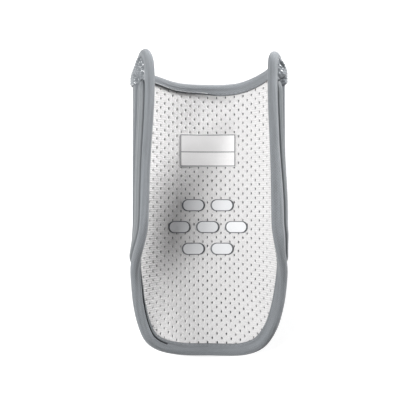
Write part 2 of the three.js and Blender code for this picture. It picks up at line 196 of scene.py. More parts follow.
# Outline
def spline(knots, counts):
    """A closed centripetal Catmull-Rom curve, with counts[i] points from knot i on."""
    total = len(knots)
    found = []
    for i in range(total):
        p0, p1, p2, p3 = (knots[(i + k) % total] for k in (-1, 0, 1, 2))
        d0, d1, d2 = (math.sqrt(np.linalg.norm(b - a)) for a, b in ((p0, p1), (p1, p2), (p2, p3)))
        t1 = ((p1 - p0) / d0 - (p2 - p0) / (d0 + d1) + (p2 - p1) / d1) * d1
        t2 = ((p2 - p1) / d1 - (p3 - p1) / (d1 + d2) + (p3 - p2) / d2) * d1
        for k in range(counts[i]):
            t = k / counts[i]
            found.append(
                p1 + t1 * t + (-3 * p1 + 3 * p2 - 2 * t1 - t2) * t**2 + (2 * p1 - 2 * p2 + t1 + t2) * t**3
            )
    return np.array(found)


def lengths_along(points):
    """The length walked to each point of a line"""
    return np.concatenate([[0], np.cumsum(np.linalg.norm(np.diff(points, axis=0), axis=1))])


def outline_points():
    """The edge's flat places, the inward direction and the stretch of an offset at each, the numbers of the
    four corners, and the length walked to each place"""
    right = [(row[RIGHT], row[RIGHT_ALONG]) for row in OUTLINE]
    left = [(-row[LEFT], row[LEFT_ALONG]) for row in OUTLINE[1:-1]][::-1]
    knots = np.array(right + left) * (HALF_GIRTH, HALF_LENGTH)
    steps = [row[STEPS] * FINE for row in OUTLINE[:-1]]
    counts = steps + steps[::-1]
    points = spline(knots, counts)
    starts = np.concatenate([[0], np.cumsum(counts)])
    corners = [int(starts[row]) for row in (TOE_ROW, HORN_ROW)]
    corners += [len(points) - corner for corner in reversed(corners)]
    chord = np.roll(points, -1, axis=0) - np.roll(points, 1, axis=0)
    run = np.linalg.norm(chord, axis=1)
    normals = np.stack([-chord[:, 1], chord[:, 0]], axis=1) / run[:, None]
    walked = lengths_along(np.vstack([points, points[:1]]))
    gap = np.abs(walked[:-1, None] - walked[None, :-1])
    gap = np.minimum(gap, walked[-1] - gap)
    weight = np.maximum(0, 1 - gap / NORMAL_BLUR) * run[None, :]
    inward = weight @ normals
    inward /= np.linalg.norm(inward, axis=1, keepdims=True)
    stretch = 1 / np.maximum((inward * normals).sum(axis=1), LEAST_FACING)
    return points, inward, stretch, corners, walked


EDGE, INWARD, STRETCH, CORNERS, WALKED = outline_points()
COUNT = len(EDGE)
TOE, HORN, OTHER_HORN, OTHER_TOE = CORNERS
EDGE_SHARES = EDGE / (HALF_GIRTH, HALF_LENGTH)


def wall_numbers(side):
    """The numbers of the edge points of one wall, from the toe to the horn"""
    return np.arange(TOE, HORN + 1) if side > 0 else np.arange(OTHER_TOE, OTHER_HORN - 1, -1)


def in_from_edge(distance):
    """The flat places at a distance inwards from every point of the outline"""
    return EDGE + INWARD * (np.asarray(distance) * STRETCH)[..., None]


def centre_shift():
    """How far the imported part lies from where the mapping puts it, found on the tape's box"""
    FOLD_POINTS = 9
    low, high = (np.array(corner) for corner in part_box("edge_tape"))
    rings = []
    for turn in np.linspace(0, math.pi, FOLD_POINTS):
        flat = in_from_edge(TAPE_FOLD - TAPE_FOLD * math.sin(turn))
        rings.append(mapped(*flat.T, EDGE_FACE / 2 - TAPE_FOLD * math.cos(turn)))
    points = np.concatenate(rings)
    shift = (low + high) / 2 - (points.min(axis=0) + points.max(axis=0)) / 2
    return np.array([shift[0], shift[1], 0.0])


SHIFT = centre_shift()


# Making meshes
def mesh_numbers(items, name):
    numbers = np.empty(len(items), dtype=np.int64)
    items.foreach_get(name, numbers)
    return numbers


def add_weave_coordinates(mesh, flats, whole):
    """UVs in millimetres, so that a weave follows the cloth"""
    found = flats[mesh_numbers(mesh.loops, "vertex_index")] * MILLIMETRES
    if whole:
        starts = mesh_numbers(mesh.polygons, "loop_start")
        owner = np.repeat(np.arange(len(starts)), mesh_numbers(mesh.polygons, "loop_total"))
        turn = whole * MILLIMETRES
        highest = np.maximum.reduceat(found[:, 0], starts)[owner]
        found[:, 0] += np.where(highest - found[:, 0] > turn / 2, turn, 0)
    layer = mesh.uv_layers.new(name="weave")
    layer.data.foreach_set("uv", found.astype(np.float32).ravel())


def add_object(name, data):
    added = bpy.data.objects.new(name, data)
    bpy.context.scene.collection.objects.link(added)
    return added


def make_piece(
    name, points, faces, materials, face_materials=None, replaces=(), flats=None, whole=0
):
    """A smooth-shaded piece from points in the guard's own frame. flats are the weave's coordinates of the
    points in metres, and whole is the length after which the first of them starts again."""
    mesh = bpy.data.meshes.new(name)
    mesh.from_pydata((np.asarray(points) + SHIFT).tolist(), [], [list(map(int, face)) for face in faces])
    for key in materials:
        mesh.materials.append(MATERIALS[key])
    if flats is not None:
        add_weave_coordinates(mesh, np.asarray(flats, float), whole)
    if face_materials is not None:
        mesh.polygons.foreach_set("material_index", np.asarray(face_materials, dtype=np.int32))
    mesh.polygons.foreach_set("use_smooth", [True] * len(mesh.polygons))
    mesh.update()
    piece = add_object(name, mesh)
    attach(piece, "root")
    if replaces:
        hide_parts(*replaces)
    return piece


def strip_faces(rings, count, closed=False):
    """Quads between rings of `count` points that lie one after another"""
    faces = []
    for r in range(rings if closed else rings - 1):
        here = r * count
        there = ((r + 1) % rings) * count
        for i in range(count):
            after = (i + 1) % count
            faces.append((here + i, there + i, there + after, here + after))
    return faces


def slab_faces(rows, columns, mirrored=False):
    """Faces of a slab between two grids of points: a front and a back square for each cell, then the rim"""
    size = rows * columns
    faces = []
    for j in range(rows - 1):
        for i in range(columns - 1):
            here = j * columns + i
            square = (here, here + 1, here + columns + 1, here + columns)
            faces += [square, tuple(number + size for number in square)[::-1]]
    rim = list(range(columns - 1))
    rim += [j * columns + columns - 1 for j in range(rows - 1)]
    rim += [(rows - 1) * columns + i for i in range(columns - 1, 0, -1)]
    rim += [j * columns for j in range(rows - 1, 0, -1)]
    for number, after in zip(rim, rim[1:] + rim[:1]):
        faces.append((number, number + size, after + size, after))
    return [face[::-1] for face in faces] if mirrored else faces


def patch_between(bottom, top, left, right):
    """A grid of flat places drawn in by equal shares from four lines that meet at their ends"""
    over = np.linspace(0, 1, len(bottom))[None, :, None]
    up = np.linspace(0, 1, len(left))[:, None, None]
    ends = bottom[None] * (1 - up) + top[None] * up
    sides = left[:, None] * (1 - over) + right[:, None] * over
    low = bottom[0] * (1 - over) + bottom[-1] * over
    high = top[0] * (1 - over) + top[-1] * over
    return ends + sides - (low * (1 - up) + high * up)


def grid_sides():
    """The numbers of the edge points along a grid's bottom, top, left and right"""
    bottom = np.arange(OTHER_TOE, COUNT + TOE + 1) % COUNT
    top = np.arange(OTHER_HORN, HORN - 1, -1)
    return bottom, top, wall_numbers(-1), wall_numbers(1)


def grid_squares(ring_start, inside_start):
    """The squares of a grid whose rim is a ring of points and whose other points are numbered in rows"""
    bottom, top, left, right = grid_sides()
    rows, columns = len(left) - 2, len(bottom) - 2
    numbers = np.empty((rows + 2, columns + 2), dtype=int)
    numbers[1:-1, 1:-1] = inside_start + np.arange(rows * columns).reshape(rows, columns)
    numbers[0] = ring_start + bottom
    numbers[-1] = ring_start + top
    numbers[:, 0] = ring_start + left
    numbers[:, -1] = ring_start + right
    corners = (numbers[:-1, :-1], numbers[:-1, 1:], numbers[1:, 1:], numbers[1:, :-1])
    return np.stack(corners, axis=-1).reshape(-1, 4).tolist()


def wrapped_mesh(rings, near_height, far_height):
    """Points, faces and flat places of a solid whose rings run out over the arm side and in over the back.
    Each ring is (distances, heights), and a grid at one height closes either end."""
    points = []
    flats = []
    for distance, height in rings:
        flat = in_from_edge(distance)
        flats.append(flat)
        points.append(place(*flat.T, height))
    faces = strip_faces(len(rings), COUNT)
    inside_start = len(rings) * COUNT
    for number, height, facing in ((0, near_height, 1), (len(rings) - 1, far_height, -1)):
        grid = patch_between(*(flats[number][side] for side in grid_sides()))
        inner = grid[1:-1, 1:-1].reshape(-1, 2)
        points.append(place(*inner.T, height))
        flats.append(inner)
        faces += [square[::facing] for square in grid_squares(number * COUNT, inside_start)]
        inside_start += len(inner)
    return np.concatenate(points), faces, np.concatenate(flats)


# Materials. The weaves' noises are (scale, detail), for coordinates in millimetres.
SHEEN_ROUGHNESS = 0.5
WOBBLE = (0.9, 1.0)
FUZZ = (1.1, 4.0)
STREAK = (1.0, 3.0)
STREAK_STRETCH = (0.025, 0.62, 1.0)
MOTTLE_DETAIL = 3.0


def srgb(*values):
    """Linear colour from 0-255 display values"""
    shares = [value / 255 for value in values]
    return tuple(s / 12.92 if s <= 0.04045 else ((s + 0.055) / 1.055) ** 2.4 for s in shares) + (1.0,)


def new_material(name, colour, roughness, sheen=0.0):
    material = bpy.data.materials.new(name)
    material.use_nodes = True
    shader = material.node_tree.nodes["Principled BSDF"]
    shader.inputs["Base Color"].default_value = colour
    shader.inputs["Roughness"].default_value = roughness
    shader.inputs["Sheen Weight"].default_value = sheen
    shader.inputs["Sheen Roughness"].default_value = SHEEN_ROUGHNESS
    material.diffuse_color = colour
    return material


class Nodes:
    """Adds nodes to one material and links them"""

    def __init__(self, material):
        self.tree = material.node_tree
        self.shader = self.tree.nodes["Principled BSDF"]

    def add(self, kind, inputs=(), **settings):
        node = self.tree.nodes.new(kind)
        for key, value in settings.items():
            setattr(node, key, value)
        for key, value in dict(inputs).items():
            if isinstance(value, bpy.types.NodeSocket):
                self.tree.links.new(value, node.inputs[key])
            else:
                node.inputs[key].default_value = value
        return node

    def math(self, operation, *values):
        return self.add("ShaderNodeMath", enumerate(values), operation=operation).outputs[0]

    def vector_math(self, operation, first, second):
        return self.add("ShaderNodeVectorMath", {0: first, 1: second}, operation=operation).outputs[0]

    def noise(self, vector, scale, detail, output="Fac"):
        inputs = {"Vector": vector, "Scale": scale, "Detail": detail}
        return self.add("ShaderNodeTexNoise", inputs).outputs[output]

    def wave(self, value, pitch):
        return self.math("SINE", self.math("MULTIPLY", value, 2 * math.pi / pitch))

    def drive(self, name, socket):
        self.tree.links.new(socket, self.shader.inputs[name])


def weave(
    material, pitch, depth, tone, mottle=0.06, mottle_size=14.0, crossing=0.35, streaks=0.0, rows=None
):
    """A woven or knitted face: crossed waves of the two pitches (mm) as bump and as tone, uneven on a larger
    scale. Streaks are fine lines along the cloth's first direction. Rows are ridges across the second one,
    which grow between two distances from the middle (mm)."""
    nodes = Nodes(material)
    flat = nodes.add("ShaderNodeTexCoord").outputs["UV"]
    wobble = nodes.noise(flat, *WOBBLE, "Color")
    shift = nodes.vector_math("MULTIPLY", wobble, (pitch[0] / 2, pitch[1] / 2, 0))
    parts = nodes.add("ShaderNodeSeparateXYZ", {0: nodes.vector_math("ADD", flat, shift)}).outputs
    crossed = nodes.math("MULTIPLY", nodes.wave(parts[0], pitch[0]), nodes.wave(parts[1], pitch[1]))
    height = nodes.math("MULTIPLY_ADD", crossed, crossing, nodes.noise(flat, *FUZZ))
    if rows:
        away = nodes.math("ABSOLUTE", parts[0])
        growth = {0: away, 1: rows["from"], 2: rows["full"], 3: 0.0, 4: rows["strength"]}
        grown = nodes.add("ShaderNodeMapRange", growth, interpolation_type="SMOOTHSTEP").outputs[0]
        height = nodes.math("MULTIPLY_ADD", nodes.wave(parts[1], rows["pitch"]), grown, height)
    if streaks:
        stretched = nodes.add("ShaderNodeMapping", {"Vector": flat, "Scale": STREAK_STRETCH}).outputs[0]
        height = nodes.math("MULTIPLY_ADD", nodes.noise(stretched, *STREAK), streaks, height)
    bump = nodes.add("ShaderNodeBump", {"Height": height, "Strength": 1.0, "Distance": depth})
    nodes.drive("Normal", bump.outputs["Normal"])
    blotch = nodes.noise(flat, 1 / mottle_size, MOTTLE_DETAIL)
    large = nodes.math("MULTIPLY_ADD", blotch, 2 * mottle, 1 - mottle)
    small = nodes.math("MULTIPLY_ADD", height, 2 * tone, 1 - tone * (1 + streaks))
    colour = nodes.shader.inputs["Base Color"].default_value[:]
    inputs = {0: 1.0, 6: colour, 7: nodes.math("MULTIPLY", large, small)}
    toned = nodes.add("ShaderNodeMix", inputs, data_type="RGBA", blend_type="MULTIPLY")
    nodes.drive("Base Color", toned.outputs[2])


LINER_ROWS = {"pitch": 1.7, "from": 24.0, "full": 62.0, "strength": 0.32}
WEAVES = {
    "liner": {"pitch": (1.2, 1.17), "depth": 0.00045, "tone": 0.2, "mottle": 0.03, "rows": LINER_ROWS},
    "cover": {"pitch": (1.1, 1.4), "depth": 0.0003, "tone": 0.12},
    "tape": {"pitch": (2.2, 1.6), "depth": 0.0004, "tone": 0.22, "crossing": 0.3, "streaks": 1.5},
    "rib": {"pitch": (0.9, 0.9), "depth": 0.00012, "tone": 0.1, "streaks": 1.2},
    "pad": {"pitch": (1.0, 1.0), "depth": 0.00005, "tone": 0.03, "mottle": 0.02},
    "field": {"pitch": (0.6, 0.6), "depth": 0.00003, "tone": 0.03, "mottle": 0.04, "mottle_size": 9.0},
    "strip": {"pitch": (0.6, 0.6), "depth": 0.00005, "tone": 0.06, "mottle": 0.02, "streaks": 0.8},
}


# Each material's name, display colour, roughness and sheen
MATERIAL_ROWS = {
    "liner": ("white_mesh", (224, 223, 223), 0.85, 0.15),
    "dark": ("foam_under_the_mesh", (96, 99, 103), 0.95),
    "cover": ("grey_knit", (112, 116, 120), 0.85, 0.2),
    "tape": ("grey_tape", (122, 126, 130), 0.7, 0.2),
    "rib": ("satin_rib", (113, 117, 120), 0.36),
    "panel": ("knurled_panel", (122, 126, 130), 0.2),
    "field": ("label_film", (216, 215, 215), 0.4),
    "strip": ("label_strip", (224, 223, 223), 0.6),
    "line": ("label_lines", (98, 101, 104), 0.5),
    "pad": ("grip_pad", (212, 213, 215), 0.45),
    "rim": ("grip_pad_rim", (92, 95, 99), 0.5),
    # painted shade: this dark colour stands for the shadow in the gap between the tape's two layers
    "gap": ("gap_between_layers", (45, 47, 50), 0.95),
    "under": ("shade_under_the_edge", (104, 107, 110), 0.95),
    "thread": ("thread", (142, 145, 148), 0.6),
    # painted highlight: this light colour stands for light caught along the tape's turned edge
    "fold": ("turned_edge", (236, 238, 240), 0.6),
}


def build_materials():
    found = {}
    for key, (name, colour, *finish) in MATERIAL_ROWS.items():
        found[key] = new_material(name, srgb(*colour), *finish)
    for key, cloth in WEAVES.items():
        weave(found[key], **cloth)
    return found


MATERIALS = build_materials()


# Cover: the foam pad in its knit, a swollen back inside a flat edge
def rib_share():
    """How much of the rib stands beside each edge point, from 0 to 1"""
    numbers = np.arange(COUNT)
    on_wall = ((numbers > TOE) & (numbers < HORN)) | ((numbers > OTHER_HORN) & (numbers < OTHER_TOE))
    along = in_from_edge(RIB_END)[:, 1] / HALF_LENGTH
    from_end = np.minimum(along - RIB_RUN[0], RIB_RUN[1] - along)
    return np.where(on_wall, smooth((from_end + RIB_MARGIN + RIB_ROUNDING) / RIB_ROUNDING), 0.0)


SWELL_START = RIB_START + (RIB_WIDTH + CLEARANCE) * rib_share()
SHOULDER_STEPS = 8
SHOULDER_POWER = 1.1


def shoulder(share):
    """The back's height over the inner face, from the flat edge at share 0 to the full thickness at 1"""
    swell = np.sin(np.clip(share, 0, 1) * math.pi / 2) ** SHOULDER_POWER
    return EDGE_FACE + (OUTER_FACE - EDGE_FACE) * swell


def build_cover():
    """The padded cover, with bare foam on its arm side under the mesh"""
    rings = [
        (SWELL_START + SHOULDER, PAD_FACE),
        (TAPE_LAP["arm"], PAD_FACE),
        (CUT, PAD_FACE),
        (CUT, EDGE_FACE),
        (TAPE_LAP["back"], EDGE_FACE),
    ]
    for step in range(SHOULDER_STEPS + 1):
        share = step / SHOULDER_STEPS
        rings.append((SWELL_START + SHOULDER * share, shoulder(share)))
    points, faces, flats = wrapped_mesh(rings, PAD_FACE, OUTER_FACE)
    strips = COUNT * (len(rings) - 1)
    grid = (HORN - TOE) * (OTHER_HORN - HORN)
    on_arm_side = np.zeros(len(faces), dtype=int)
    on_arm_side[: 2 * COUNT] = 1
    on_arm_side[strips : strips + grid] = 1
    cover = make_piece(
        "cover", points, faces, ["cover", "dark"], on_arm_side, replaces=["padded_shell"],
        flats=flats,
    )


# Liner: a white mesh with oval holes in staggered columns
HOLE_PITCH = (0.0036, 0.0035)
HOLE_RADII = (0.00045, 0.00098)
RIM_RADII = (0.00115, 0.00155)
RIM_DIP = 0.00034
LIP_RADII = tuple((hole + rim) / 2 for hole, rim in zip(HOLE_RADII, RIM_RADII))
LIP_DIP = 0.35 * RIM_DIP
HOLE_RINGS = ((RIM_RADII, 0.0), (LIP_RADII, LIP_DIP), (HOLE_RADII, RIM_DIP), (HOLE_RADII, LINER_THICKNESS))
SIDE_POINTS = 3
LINER_IN = 0.0048
PATCH_GAP = 0.00012
PATCH_MARGIN = 0.001
UNEVEN = {"share": 0.14, "columns": 12.9, "rows": 4.1}
CLOTH_PULL = {"rows": 18.0, "columns": 0.055, "from": -0.055, "fade": 0.06}
HOLE_CLOSING = {
    "right": {"from": 0.048, "fade": 0.022, "most": 0.6},
    "left": {"from": 0.047, "fade": 0.026, "most": 0.45},
}
GRIP_ROWS = ((2, 1), (3, 0), (2, -1))
PLACES_AT_ONCE = 500
NEARLY_FLAT = 1e-12
MICRONS = 1e6


def distance_inside(places):
    """How far flat places lie inside the outline, and less than 0 outside it"""
    distance = np.empty(len(places))
    ends = np.roll(EDGE, -1, axis=0)
    run = ends - EDGE
    slope = run[:, 0] / np.where(run[:, 1] == 0, NEARLY_FLAT, run[:, 1])
    for first in range(0, len(places), PLACES_AT_ONCE):
        some = places[first : first + PLACES_AT_ONCE]
        offset = some[:, None] - EDGE[None]
        share = np.clip((offset * run).sum(-1) / (run**2).sum(-1), 0, 1)
        near = np.linalg.norm(offset - share[..., None] * run, axis=-1).min(axis=1)
        crosses = (EDGE[:, 1] > some[:, None, 1]) != (ends[:, 1] > some[:, None, 1])
        crossing = EDGE[:, 0] + offset[..., 1] * slope
        inside = (crosses & (some[:, None, 0] < crossing)).sum(axis=1) % 2 == 1
        distance[first : first + PLACES_AT_ONCE] = np.where(inside, near, -near)
    return distance


def cover_height(places):
    """The height of the cover's back at flat places near the edge"""
    away = np.linalg.norm(places[:, None] - EDGE[None], axis=-1)
    start = SWELL_START[away.argmin(axis=1)]
    return shoulder((distance_inside(places) - start) / SHOULDER)


def grip_places():
    """The middles of the grip pads, in rows of two, three and two"""
    places = []
    for count, row in GRIP_ROWS:
        for i in range(count):
            across = (i - (count - 1) / 2) * GRIP_PITCH["across"]
            places.append((across, GRIP_ALONG + row * GRIP_PITCH["along"]))
    return places


def covered(across, along):
    """Whether a place is under the label or a grip pad"""
    under_label = abs(across) < LABEL["width"] / 2 and abs(along - LABEL["along"]) < LABEL["height"] / 2
    half_wide = GRIP_PAD["width"] / 2 - PATCH_MARGIN
    half_tall = GRIP_PAD["height"] / 2 - PATCH_MARGIN
    return under_label or any(
        abs(across - x) < half_wide and abs(along - y) < half_tall for x, y in grip_places()
    )


def hole_size(i, j, across):
    """How wide one hole is: each a little different, and those on the walls pulled narrower"""
    closing = HOLE_CLOSING["right" if across > 0 else "left"]
    closed = closing["most"] * float(smooth((abs(across) - closing["from"]) / closing["fade"]))
    return (1 + UNEVEN["share"] * math.sin(UNEVEN["columns"] * i + UNEVEN["rows"] * j * j)) * (1 - closed)


def pulled(across, along):
    """Where a place of the flat cloth lies once it is pulled over the pad: its rows bend away from the
    middle beside the walls, and its columns part at the right of the tongue"""
    parting = CLOTH_PULL["columns"] * smooth((CLOTH_PULL["from"] - along) / CLOTH_PULL["fade"])
    bend = CLOTH_PULL["rows"] * across * across
    return across * (1 + np.where(across > 0, parting, 0)), along * (1 + bend)


def square_places():
    """Places round a square of side 1, from its lower left corner on"""
    corners = ((-0.5, -0.5), (0.5, -0.5), (0.5, 0.5), (-0.5, 0.5))
    places = []
    for (x, y), (end_x, end_y) in zip(corners, corners[1:] + corners[:1]):
        for share in (k / SIDE_POINTS for k in range(SIDE_POINTS)):
            places.append((x + (end_x - x) * share, y + (end_y - y) * share))
    return places


def liner_squares():
    """The mesh's squares inside the tape: column, row, the middle laid flat, and the middle once pulled"""
    wide, tall = HOLE_PITCH
    columns = int(HALF_GIRTH / wide) + 1
    rows = int(HALF_LENGTH / tall) + 1
    spots = [
        (i, j, i * wide, (j + 0.5) * tall) for i in range(-columns, columns + 1) for j in range(-rows, rows)
    ]
    flat = np.array(spots)[:, 2:]
    middles = np.stack(pulled(flat[:, 0], flat[:, 1]), axis=1)
    depths = distance_inside(middles)
    return [(*spot, middle) for spot, middle, depth in zip(spots, middles, depths) if depth >= LINER_IN]


def build_liner():
    wide, tall = HOLE_PITCH
    square = square_places()
    turns = [math.atan2(y, x) for x, y in square]
    marks = [k / SIDE_POINTS - 0.5 for k in range(SIDE_POINTS + 1)]
    flats = []
    heights = []
    faces = []
    known = {}

    def shared(x, y):
        """The number of a place that neighbouring squares have in common"""
        key = (round(x * MICRONS), round(y * MICRONS))
        if key not in known:
            known[key] = len(flats)
            flats.append((x, y))
            heights.append(0.0)
        return known[key]

    def add_hole(x, y, size):
        """A square with an oval hole, whose rim dips into the cloth"""
        previous = [shared(x + u * wide, y + v * tall) for u, v in square]
        for radii, dip in HOLE_RINGS:
            ring = list(range(len(flats), len(flats) + len(turns)))
            for turn in turns:
                flats.append((x + radii[0] * size * math.cos(turn), y + radii[1] * math.sin(turn)))
                heights.append(dip * min(size, 1))
            for k in range(len(turns)):
                after = (k + 1) % len(turns)
                faces.append((previous[k], previous[after], ring[after], ring[k]))
            previous = ring

    for i, j, x, y, middle in liner_squares():
        if (i + j) % 2 == 0 and not covered(*middle):
            add_hole(x, y, hole_size(i, j, x))
            continue
        for a in range(SIDE_POINTS):
            for b in range(SIDE_POINTS):
                corners = ((a, b), (a + 1, b), (a + 1, b + 1), (a, b + 1))
                faces.append(tuple(shared(x + marks[p] * wide, y + marks[q] * tall) for p, q in corners))
    flats = np.array(flats)
    points = place(*pulled(flats[:, 0], flats[:, 1]), np.array(heights))
    liner = make_piece(
        "liner", points, faces, ["liner"], replaces=["mesh_liner"], flats=flats
    )


# Edge tape: two flaps joined by a round fold. Lower, upper, left and right are shares of half the length or
# half the girth.
TAPE_STEP = {
    "distance": 0.0056, "run": 0.0004, "rise": 0.0006, "start": 0.001, "lower": -0.958,
    "upper": -0.36, "fade": 0.1,
}
# The faces of this gap beside the tongue are painted dark as shade
TAPE_GAP = {"width": 0.00135, "wider": 0.0008, "lower": -0.72, "fade": 0.15, "least": 0.0002}
TAPE_CURL = {
    "run": 0.0016, "rise": 0.00035, "gap": 0.001, "least": 0.1, "drop": 0.0004,
    "shorter": 0.0015, "left": -0.72, "right": 0.02, "fade": 0.2,
}
SEAM = {
    "shift": 0.0018, "gap": 0.00025, "lower": -0.45, "lower_fade": 0.25, "upper": 0.95,
    "upper_fade": 0.8,
}
# Where the painted highlight line lies, just inside the curled edge at the top left
PAINTED_HIGHLIGHT_LINE = (0.0001, 0.0007)
FLAP = {"near": (0.0, 0.0002, 0.0006), "from": 0.0012, "steps": 6}
FOLD_STEPS = 14
BACK_STEPS = 4
END_ROUNDING = 0.35 * TAPE_THICKNESS

# The tape's looks, the rings of the section that have them, and how open it is there at least. Besides the
# plain tape they are painted shade in the gap between the two layers, a painted highlight along the turned
# edge and painted shade under that edge.
PLAIN, GAP_SHADE, FOLD_HIGHLIGHT, UNDER = range(4)
LOOK_RINGS = {UNDER: [0, 1, -1, -2], FOLD_HIGHLIGHT: [3], GAP_SHADE: [5, 6, 7, 8]}
OPEN_FROM = {UNDER: 0.15, FOLD_HIGHLIGHT: 0.6, GAP_SHADE: 0.35}

ON_TOP = (np.arange(COUNT) > HORN) & (np.arange(COUNT) < OTHER_HORN)


def share_between(values, low, high, fade):
    """1 between two values and 0 beyond them, with a soft change at both"""
    return smooth((values - low) / fade + 0.5) * smooth((high - values) / fade + 0.5)


def beside_tongue():
    """1 at the left wall's lower part, where the tape's two layers lie open, and 0 at other edge points"""
    on_left = (EDGE[:, 0] < 0) & ~ON_TOP
    open_part = share_between(EDGE_SHARES[:, 1], TAPE_STEP["lower"], TAPE_STEP["upper"], TAPE_STEP["fade"])
    return np.where(on_left, open_part, 0)


def top_left():
    """1 at the left half of the top, where the tape's edge stands up, and 0 at other edge points"""
    open_part = share_between(EDGE_SHARES[:, 0], TAPE_CURL["left"], TAPE_CURL["right"], TAPE_CURL["fade"])
    return np.where(ON_TOP, open_part, 0)


OPEN_SIDE = beside_tongue()
OPEN_EDGE = top_left()


def back_lap(side, along):
    """How far the back's flap reaches at lengths along one wall: a little less beside the left rib"""
    share = along / HALF_LENGTH
    run = smooth((share - SEAM["lower"]) / SEAM["lower_fade"])
    run *= smooth((SEAM["upper"] - share) / SEAM["upper_fade"])
    return TAPE_LAP["back"] - np.where(side < 0, SEAM["shift"] * run, 0)


def flap_distance(distance):
    """Where a place of the arm side's flap lies at every edge point: the flap is shorter at the top left"""
    shorter = TAPE_CURL["shorter"] / (TAPE_LAP["arm"] - TAPE_FOLD)
    return TAPE_FOLD + (distance - TAPE_FOLD) * (1 - shorter * OPEN_EDGE)


def tape_lift(distance):
    """How far the arm side's flap stands up at a distance in, at every edge point: a step beside the left
    wall's lower part, and an edge that curls up along the left half of the top"""
    step = TAPE_STEP["rise"] * smooth((TAPE_STEP["distance"] - distance) / TAPE_STEP["run"] + 0.5)
    step *= smooth((distance - TAPE_FOLD) / TAPE_STEP["start"])
    curl = TAPE_CURL["rise"] * smooth(1 - (TAPE_LAP["arm"] - distance) / TAPE_CURL["run"])
    return OPEN_SIDE * step + OPEN_EDGE * curl


def tape_path():
    """The tape's section from the arm side's edge to the back's. Each place is (distance in, -1 on the arm
    side or 1 on the back, how far it stands up), or (None, None, turn) on the fold."""
    lap = TAPE_LAP["arm"]
    step = TAPE_STEP["distance"]
    wider = share_between(EDGE_SHARES[:, 1], TAPE_GAP["lower"], TAPE_STEP["upper"], TAPE_GAP["fade"])
    gap = TAPE_GAP["width"] + TAPE_GAP["wider"] * wider * OPEN_SIDE
    sunk = -TAPE_THICKNESS / 2 * OPEN_SIDE
    reach = TAPE_CURL["gap"] * np.maximum(OPEN_EDGE, TAPE_CURL["least"])
    down = -(TAPE_CURL["drop"] + TAPE_CURL["rise"]) * OPEN_EDGE
    path = [(lap - reach * share, -1, down) for share in (0.0, 0.5, 1.0)]
    path += [(lap - reach - run, -1, 0.0) for run in PAINTED_HIGHLIGHT_LINE]
    path.append((step + gap, -1, 0.0))
    path += [(step + run, -1, sunk) for run in (gap * 0.9, gap * 0.5, TAPE_GAP["least"])]
    flap = [step - run for run in FLAP["near"]]
    flap += list(np.linspace(step - FLAP["from"], TAPE_FOLD, FLAP["steps"] + 1)[:-1])
    path += [(distance, -1, 0.0) for distance in flap]
    path += [(None, None, math.pi * k / FOLD_STEPS) for k in range(FOLD_STEPS + 1)]
    back = back_lap(np.where(ON_TOP, 0, np.sign(EDGE[:, 0])), EDGE[:, 1])
    path += [(TAPE_FOLD + (back - TAPE_FOLD) * k / BACK_STEPS, 1, 0.0) for k in range(1, BACK_STEPS + 1)]
    return path


def tape_ring(spot, offset):
    """Distances and heights of a place of the section at an offset outwards from the tape's middle layer"""
    distance, side, lift = spot
    middle = EDGE_FACE / 2
    radius = TAPE_FOLD - TAPE_THICKNESS / 2 + offset
    if side is None:
        return TAPE_FOLD - radius * math.sin(lift), middle - radius * math.cos(lift)
    if side > 0:
        return distance, middle + radius
    return flap_distance(distance), middle - radius - tape_lift(np.mean(distance)) - lift


def build_binding():
    path = tape_path()
    outer = [tape_ring(spot, TAPE_THICKNESS / 2) for spot in path]
    inner = [tape_ring(spot, -TAPE_THICKNESS / 2) for spot in path][::-1]
    near_end, far_end = (tape_ring(path[index], 0) for index in (0, -1))
    rings = outer + [(far_end[0] + END_ROUNDING, far_end[1])]
    rings += inner + [(near_end[0] + END_ROUNDING, near_end[1])]
    walks = lengths_along([(np.mean(distance), np.mean(height)) for distance, height in rings])
    points = []
    flats = []
    for (distance, height), walk in zip(rings, walks):
        flat = in_from_edge(distance)
        points.append(place(*flat.T, height))
        flats.append(np.stack([WALKED[:-1], np.full(COUNT, walk)], axis=1))
    # Painted light on the tape: shade in the gap beside the tongue, and at the top left shade under the edge
    # with a painted highlight along it
    looks = np.zeros((len(rings), COUNT), dtype=int)
    for look, numbers in LOOK_RINGS.items():
        opened = OPEN_SIDE if look == GAP_SHADE else OPEN_EDGE
        looks[numbers] = np.where(opened > OPEN_FROM[look], look, PLAIN)
    make_piece(
        "binding", np.concatenate(points), strip_faces(len(rings), COUNT, closed=True),
        ["tape", "gap", "fold", "under"], looks.ravel(), replaces=["edge_tape"],
        flats=np.concatenate(flats), whole=WALKED[-1],
    )


# Stitches that hold the tape, in one row near its inner edge. Their rings are (share of the length, size).
STITCH = {
    "in": 0.0079, "length": 0.0026, "gap": 0.0011, "width": 0.0005, "rise": 0.00016,
    "over": 0.00012, "shorter": 0.0006,
}
STITCH_RINGS = ((-0.5, 0.45), (-0.3, 0.9), (0.0, 1.0), (0.3, 0.9), (0.5, 0.45))
LOOK_AHEAD = 0.0002


